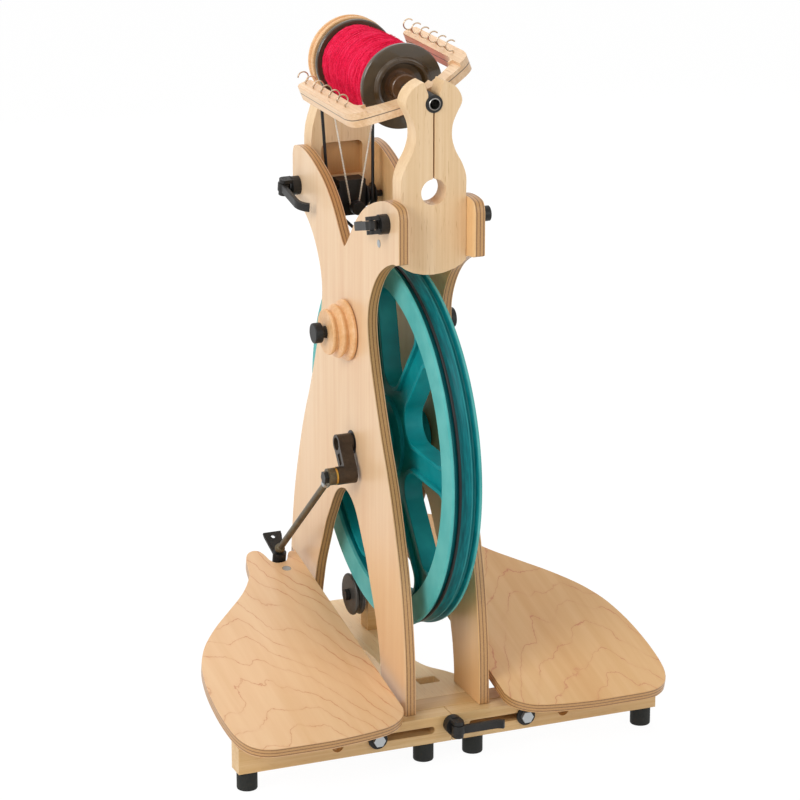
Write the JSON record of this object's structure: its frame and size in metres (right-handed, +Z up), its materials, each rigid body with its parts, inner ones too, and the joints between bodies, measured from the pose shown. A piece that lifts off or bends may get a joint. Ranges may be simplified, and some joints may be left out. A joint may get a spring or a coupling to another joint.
{
  "type": "folding spinning wheel",
  "caption": "Upright folding double-treadle spinning wheel: plywood side frames, teal drive wheel, flyer with bobbin of red yarn between tilting maidens, fold-up treadles.",
  "frame": {"origin": "on the floor, under the middle of the wheel's overall box", "axes": "+X to the spinner's right, +Y away from the spinner, +Z up"},
  "size_m": [0.4282, 0.3542, 0.6444],
  "materials": {
    "plywood": "clear satin birch plywood",
    "base_maple": "oiled maple",
    "black_rubber": "matt",
    "black_steel": "black satin",
    "black_plastic": "matt moulded",
    "black_band": "smooth polymer band",
    "white_cord": "twisted cotton",
    "peg_wood": "turned, satin",
    "teal": "satin teal",
    "steel": "brushed",
    "maiden_maple": "clear satin maple",
    "yoke_wood": "laminated, satin",
    "hook_wire": "coppery wire",
    "bobbin_brown": "olive brown satin",
    "red_yarn": "spun crimson wool",
    "white_plastic": "plain",
    "treadle_maple": "clear satin, cathedral grain",
    "bronze_steel": "dark bronze",
    "brass": "plain brass"
  },
  "bodies": {
    "frame": {"left_upright": "plywood", "right_upright": "plywood", "front_rail": "base_maple", "base_plank": "base_maple", "rear_feet": "black_rubber", "axle_bearings": "black_steel", "frame_bolts": "black_steel", "idler_block": "black_plastic", "drive_band": "black_band", "brake_cord": "white_cord", "quick_releases": "black_steel", "storage_pegs": "black_plastic", "roller_block": "base_maple"},
    "wheel": {"wheel_rim": "teal", "wheel_spokes": "teal", "axle": "steel", "left_crank": "black_steel", "right_crank": "black_steel"},
    "front_maiden": {"front_maiden": "maiden_maple", "front_bearing": "black_plastic"},
    "flyer": {"flyer_yoke": "yoke_wood", "flyer_shaft": "steel", "flyer_hooks": "hook_wire", "whorl": "peg_wood"},
    "bobbin": {"bobbin": "bobbin_brown", "yarn": "red_yarn"},
    "back_maiden": {"back_maiden": "maiden_maple", "rear_bearing": "black_plastic"},
    "left_idler": {"left_idler": "black_plastic"},
    "right_idler": {"right_idler": "black_plastic"},
    "rear_roller": {"rear_roller": "black_plastic"},
    "front_lever": {"front_lever": "black_steel"},
    "back_lever": {"back_lever": "black_steel"},
    "base_lever": {"base_lever": "black_steel"},
    "brake_knob": {"brake_knob": "black_plastic"},
    "stored_whorl": {"stored_whorl": "peg_wood"},
    "left_bush": {"left_bush": "white_plastic"},
    "left_bar": {"left_bar": "base_maple", "left_bar_feet": "black_rubber", "left_bar_brackets": "black_steel", "left_hinge_pin": "steel"},
    "left_treadle": {"left_treadle": "treadle_maple", "left_treadle_brackets": "black_steel", "left_strap": "black_plastic"},
    "left_ball": {"left_ball": "bronze_steel"},
    "left_footman": {"left_rod": "bronze_steel", "left_pin_bolt": "black_steel", "left_washer": "brass"},
    "right_bush": {"right_bush": "white_plastic"},
    "right_bar": {"right_bar": "base_maple", "right_bar_feet": "black_rubber", "right_bar_brackets": "black_steel", "right_hinge_pin": "steel"},
    "right_treadle": {"right_treadle": "treadle_maple", "right_treadle_brackets": "black_steel", "right_strap": "black_plastic"},
    "right_ball": {"right_ball": "bronze_steel"},
    "right_footman": {"right_rod": "bronze_steel", "right_pin_bolt": "black_steel", "right_washer": "brass"}
  },
  "joints": [
    {"name": "wheel_spin", "type": "hinge", "parent": "frame", "child": "wheel", "pos_m": [0, 0.00101, 0.267], "axis": [1, 0, 0], "continuous": true},
    {"name": "front_maiden_tilt", "type": "hinge", "parent": "frame", "child": "front_maiden", "pos_m": [0, -0.08699, 0.498], "axis": [1, 0, 0], "range_deg": [0, 35], "deforming": ["drive_band", "brake_cord"]},
    {"name": "flyer_spin", "type": "hinge", "parent": "front_maiden", "child": "flyer", "pos_m": [0, 0.00101, 0.6044], "axis": [0, 1, 0], "continuous": true},
    {"name": "bobbin_spin", "type": "hinge", "parent": "flyer", "child": "bobbin", "pos_m": [0, 0.00101, 0.6044], "axis": [0, 1, 0], "continuous": true},
    {"name": "back_maiden_tilt", "type": "hinge", "parent": "frame", "child": "back_maiden", "pos_m": [0, 0.13601, 0.48], "axis": [-1, 0, 0], "range_deg": [0, 20]},
    {"name": "left_idler_spin", "type": "hinge", "parent": "frame", "child": "left_idler", "pos_m": [-0.0185, 0.10801, 0.472], "axis": [1, 0, 0], "continuous": true},
    {"name": "right_idler_spin", "type": "hinge", "parent": "frame", "child": "right_idler", "pos_m": [0.0185, 0.10801, 0.472], "axis": [1, 0, 0], "continuous": true},
    {"name": "rear_roller_spin", "type": "hinge", "parent": "frame", "child": "rear_roller", "pos_m": [-0.007, 0.08601, 0.081], "axis": [1, 0, 0], "continuous": true},
    {"name": "front_lever_open", "type": "hinge", "parent": "frame", "child": "front_lever", "pos_m": [-0.0561, -0.08699, 0.498], "axis": [0, 0.2588, 0.9659], "range_deg": [0, 100]},
    {"name": "back_lever_open", "type": "hinge", "parent": "frame", "child": "back_lever", "pos_m": [-0.0561, 0.13601, 0.48], "axis": [0, 0.1736, -0.9848], "range_deg": [0, 100]},
    {"name": "base_lever_open", "type": "hinge", "parent": "frame", "child": "base_lever", "pos_m": [0, -0.15679, 0.035], "axis": [0, 0, -1], "range_deg": [0, 100]},
    {"name": "brake_knob_turn", "type": "hinge", "parent": "frame", "child": "brake_knob", "pos_m": [0, 0.09741, 0.465], "axis": [0, 1, 0], "continuous": true},
    {"name": "stored_whorl_turn", "type": "hinge", "parent": "frame", "child": "stored_whorl", "pos_m": [-0.052, 0.01101, 0.373], "axis": [1, 0, 0], "continuous": true},
    {"name": "left_bar_fold", "type": "hinge", "parent": "frame", "child": "left_bush", "pos_m": [-0.0734, -0.13249, 0.031], "axis": [0, 1, 0], "range_deg": [0, 27]},
    {"name": "left_bar_slide", "type": "slide", "parent": "left_bush", "child": "left_bar", "axis": [-1, 0, 0], "range_m": [0, 0.053]},
    {"name": "left_treadle_rock", "type": "hinge", "parent": "left_bar", "child": "left_treadle", "pos_m": [-0.135, -0.13599, 0.0485], "axis": [1, 0, 0], "range_deg": [-6, 8.1]},
    {"name": "left_ball_turn", "type": "hinge", "parent": "left_treadle", "child": "left_ball", "pos_m": [-0.0695, 0.12198, 0.12395], "axis": [-0.2406, -0.6296, -0.7388], "range_deg": [0, 33.15]},
    {"name": "left_footman_swing", "type": "hinge", "parent": "left_ball", "child": "left_footman", "pos_m": [-0.0695, 0.12198, 0.12395], "axis": [1, 0, 0], "range_deg": [-20.1, 0]},
    {"name": "right_bar_fold", "type": "hinge", "parent": "frame", "child": "right_bush", "pos_m": [0.0734, -0.13249, 0.031], "axis": [0, -1, 0], "range_deg": [0, 27]},
    {"name": "right_bar_slide", "type": "slide", "parent": "right_bush", "child": "right_bar", "axis": [1, 0, 0], "range_m": [0, 0.053]},
    {"name": "right_treadle_rock", "type": "hinge", "parent": "right_bar", "child": "right_treadle", "pos_m": [0.135, -0.13599, 0.0485], "axis": [1, 0, 0], "range_deg": [-9.2, 4.9]},
    {"name": "right_ball_turn", "type": "hinge", "parent": "right_treadle", "child": "right_ball", "pos_m": [0.0695, 0.11744, 0.13804], "axis": [-0.2425, 0.8167, 0.5236], "range_deg": [0, 33.15]},
    {"name": "right_footman_swing", "type": "hinge", "parent": "right_ball", "child": "right_footman", "pos_m": [0.0695, 0.11744, 0.13804], "axis": [1, 0, 0], "range_deg": [0, 20.1]}
  ],
  "couplings": [
    {"joint": "flyer_spin", "follows": "wheel_spin", "ratio": -6.3407},
    {"joint": "left_bar_slide", "follows": "left_bar_fold", "m_per_rad": 0.11247},
    {"joint": "left_ball_turn", "follows": "left_bar_fold", "ratio": 1.2276},
    {"joint": "right_bar_slide", "follows": "right_bar_fold", "m_per_rad": 0.11247},
    {"joint": "right_ball_turn", "follows": "right_bar_fold", "ratio": 1.2276}
  ]
}
